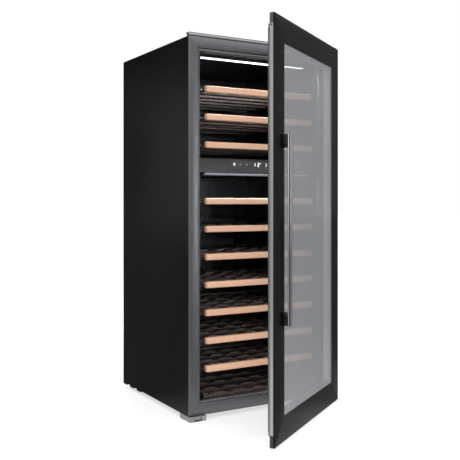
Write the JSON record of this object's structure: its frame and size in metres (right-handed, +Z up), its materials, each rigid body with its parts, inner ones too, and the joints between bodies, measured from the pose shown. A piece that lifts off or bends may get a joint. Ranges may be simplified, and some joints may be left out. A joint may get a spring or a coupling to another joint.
{
  "type": "wine cooler",
  "caption": "Tall built-in two-zone wine cooler with a bar-handled glass door standing open on sliding beech shelves, a control panel between the zones and a cooling unit behind",
  "frame": {"origin": "on the floor, under the middle of the cabinet's 554 x 540 mm plan", "axes": "+Z up, the door side faces -Y, +X is the hinge side"},
  "size_m": [0.5743, 0.9027, 1.237],
  "materials": {
    "painted_steel": "satin black powder paint",
    "galvanised": "galvanised sheet",
    "foam": "rigid foam",
    "black_liner": "fine satin",
    "dark_brushed": "dark brushed",
    "gloss_black": "gloss",
    "circuit": "solder mask",
    "light_diffuser": "frosted",
    "aluminium": "brushed",
    "black_plastic": "moulded",
    "beech": "oiled beech",
    "compressor_black": "gloss black enamel",
    "copper": "copper tube",
    "rubber_black": "matt",
    "glass_clear": "tinted float glass",
    "enamel_black": "printed enamel",
    "handle_metal": "dark brushed",
    "handle_black": "gloss",
    "fastener": "zinc",
    "bush_white": "acetal"
  },
  "bodies": {
    "cabinet": {"side_panel_left": "painted_steel", "side_panel_right": "painted_steel", "top_panel": "painted_steel", "back_panel": "painted_steel", "base_pan": "galvanised", "insulation_foam": "foam", "inner_liner": "black_liner", "front_frame": "dark_brushed", "breaker_strip": "black_liner", "top_trim_strip": "dark_brushed", "zone_divider": "black_liner", "control_panel": "gloss_black", "display_window": "gloss_black", "control_board": "circuit", "led_bars": "light_diffuser", "air_duct_upper": "black_liner", "air_duct_lower": "black_liner", "fan_motors": "black_liner", "evaporators": "aluminium", "charcoal_filters": "black_plastic", "shelf_runners": "galvanised", "bottom_rack": "beech", "compressor": "compressor_black", "compressor_grommets": "rubber_black", "condenser": "aluminium", "refrigerant_pipes": "copper", "drip_tray": "black_liner", "rear_cover": "painted_steel", "power_inlet": "black_plastic", "foot_bracket_left": "painted_steel", "hinge_bracket_bottom": "painted_steel", "hinge_bracket_top": "galvanised", "hinge_pins": "fastener", "cabinet_screws": "fastener", "base_pads": "rubber_black"},
    "door": {"outer_glass": "glass_clear", "glass_border": "enamel_black", "door_side_profiles": "aluminium", "door_end_caps": "black_plastic", "hinge_bushes": "bush_white", "door_liner": "black_liner", "inner_glass": "glass_clear", "glass_spacer": "aluminium", "door_gasket": "rubber_black", "handle_bar": "handle_metal", "handle_posts": "handle_black", "handle_screws": "fastener"},
    "shelf_01": {"shelf_01": "beech"},
    "shelf_02": {"shelf_02": "beech"},
    "shelf_03": {"shelf_03": "beech"},
    "shelf_04": {"shelf_04": "beech"},
    "shelf_05": {"shelf_05": "beech"},
    "shelf_06": {"shelf_06": "beech"},
    "shelf_07": {"shelf_07": "beech"},
    "shelf_08": {"shelf_08": "beech"},
    "shelf_09": {"shelf_09": "beech"},
    "shelf_10": {"shelf_10": "beech"},
    "fan_upper": {"fan_upper": "black_plastic"},
    "fan_lower": {"fan_lower": "black_plastic"},
    "condenser_fan": {"condenser_fan": "black_plastic"}
  },
  "joints": [
    {"name": "door_hinge", "type": "hinge", "parent": "cabinet", "child": "door", "pos_m": [0.284, -0.2965, 0.6], "axis": [0, 0, 1], "range_deg": [-34, 76]},
    {"name": "shelf_01_slide", "type": "slide", "parent": "cabinet", "child": "shelf_01", "axis": [0, -1, 0], "range_m": [0, 0.04]},
    {"name": "shelf_02_slide", "type": "slide", "parent": "cabinet", "child": "shelf_02", "axis": [0, -1, 0], "range_m": [0, 0.04]},
    {"name": "shelf_03_slide", "type": "slide", "parent": "cabinet", "child": "shelf_03", "axis": [0, -1, 0], "range_m": [0, 0.04]},
    {"name": "shelf_04_slide", "type": "slide", "parent": "cabinet", "child": "shelf_04", "axis": [0, -1, 0], "range_m": [0, 0.04]},
    {"name": "shelf_05_slide", "type": "slide", "parent": "cabinet", "child": "shelf_05", "axis": [0, -1, 0], "range_m": [0, 0.04]},
    {"name": "shelf_06_slide", "type": "slide", "parent": "cabinet", "child": "shelf_06", "axis": [0, -1, 0], "range_m": [0, 0.04]},
    {"name": "shelf_07_slide", "type": "slide", "parent": "cabinet", "child": "shelf_07", "axis": [0, -1, 0], "range_m": [0, 0.04]},
    {"name": "shelf_08_slide", "type": "slide", "parent": "cabinet", "child": "shelf_08", "axis": [0, -1, 0], "range_m": [0, 0.04]},
    {"name": "shelf_09_slide", "type": "slide", "parent": "cabinet", "child": "shelf_09", "axis": [0, -1, 0], "range_m": [0, 0.04]},
    {"name": "shelf_10_slide", "type": "slide", "parent": "cabinet", "child": "shelf_10", "axis": [0, -1, 0], "range_m": [0, 0.04]},
    {"name": "fan_upper_spin", "type": "hinge", "parent": "cabinet", "child": "fan_upper", "pos_m": [0, 0.203, 1.06], "axis": [0, -1, 0], "continuous": true},
    {"name": "fan_lower_spin", "type": "hinge", "parent": "cabinet", "child": "fan_lower", "pos_m": [0, 0.203, 0.64], "axis": [0, -1, 0], "continuous": true},
    {"name": "condenser_fan_spin", "type": "hinge", "parent": "cabinet", "child": "condenser_fan", "pos_m": [0.092, 0.182, 0.1], "axis": [1, 0, 0], "continuous": true}
  ]
}
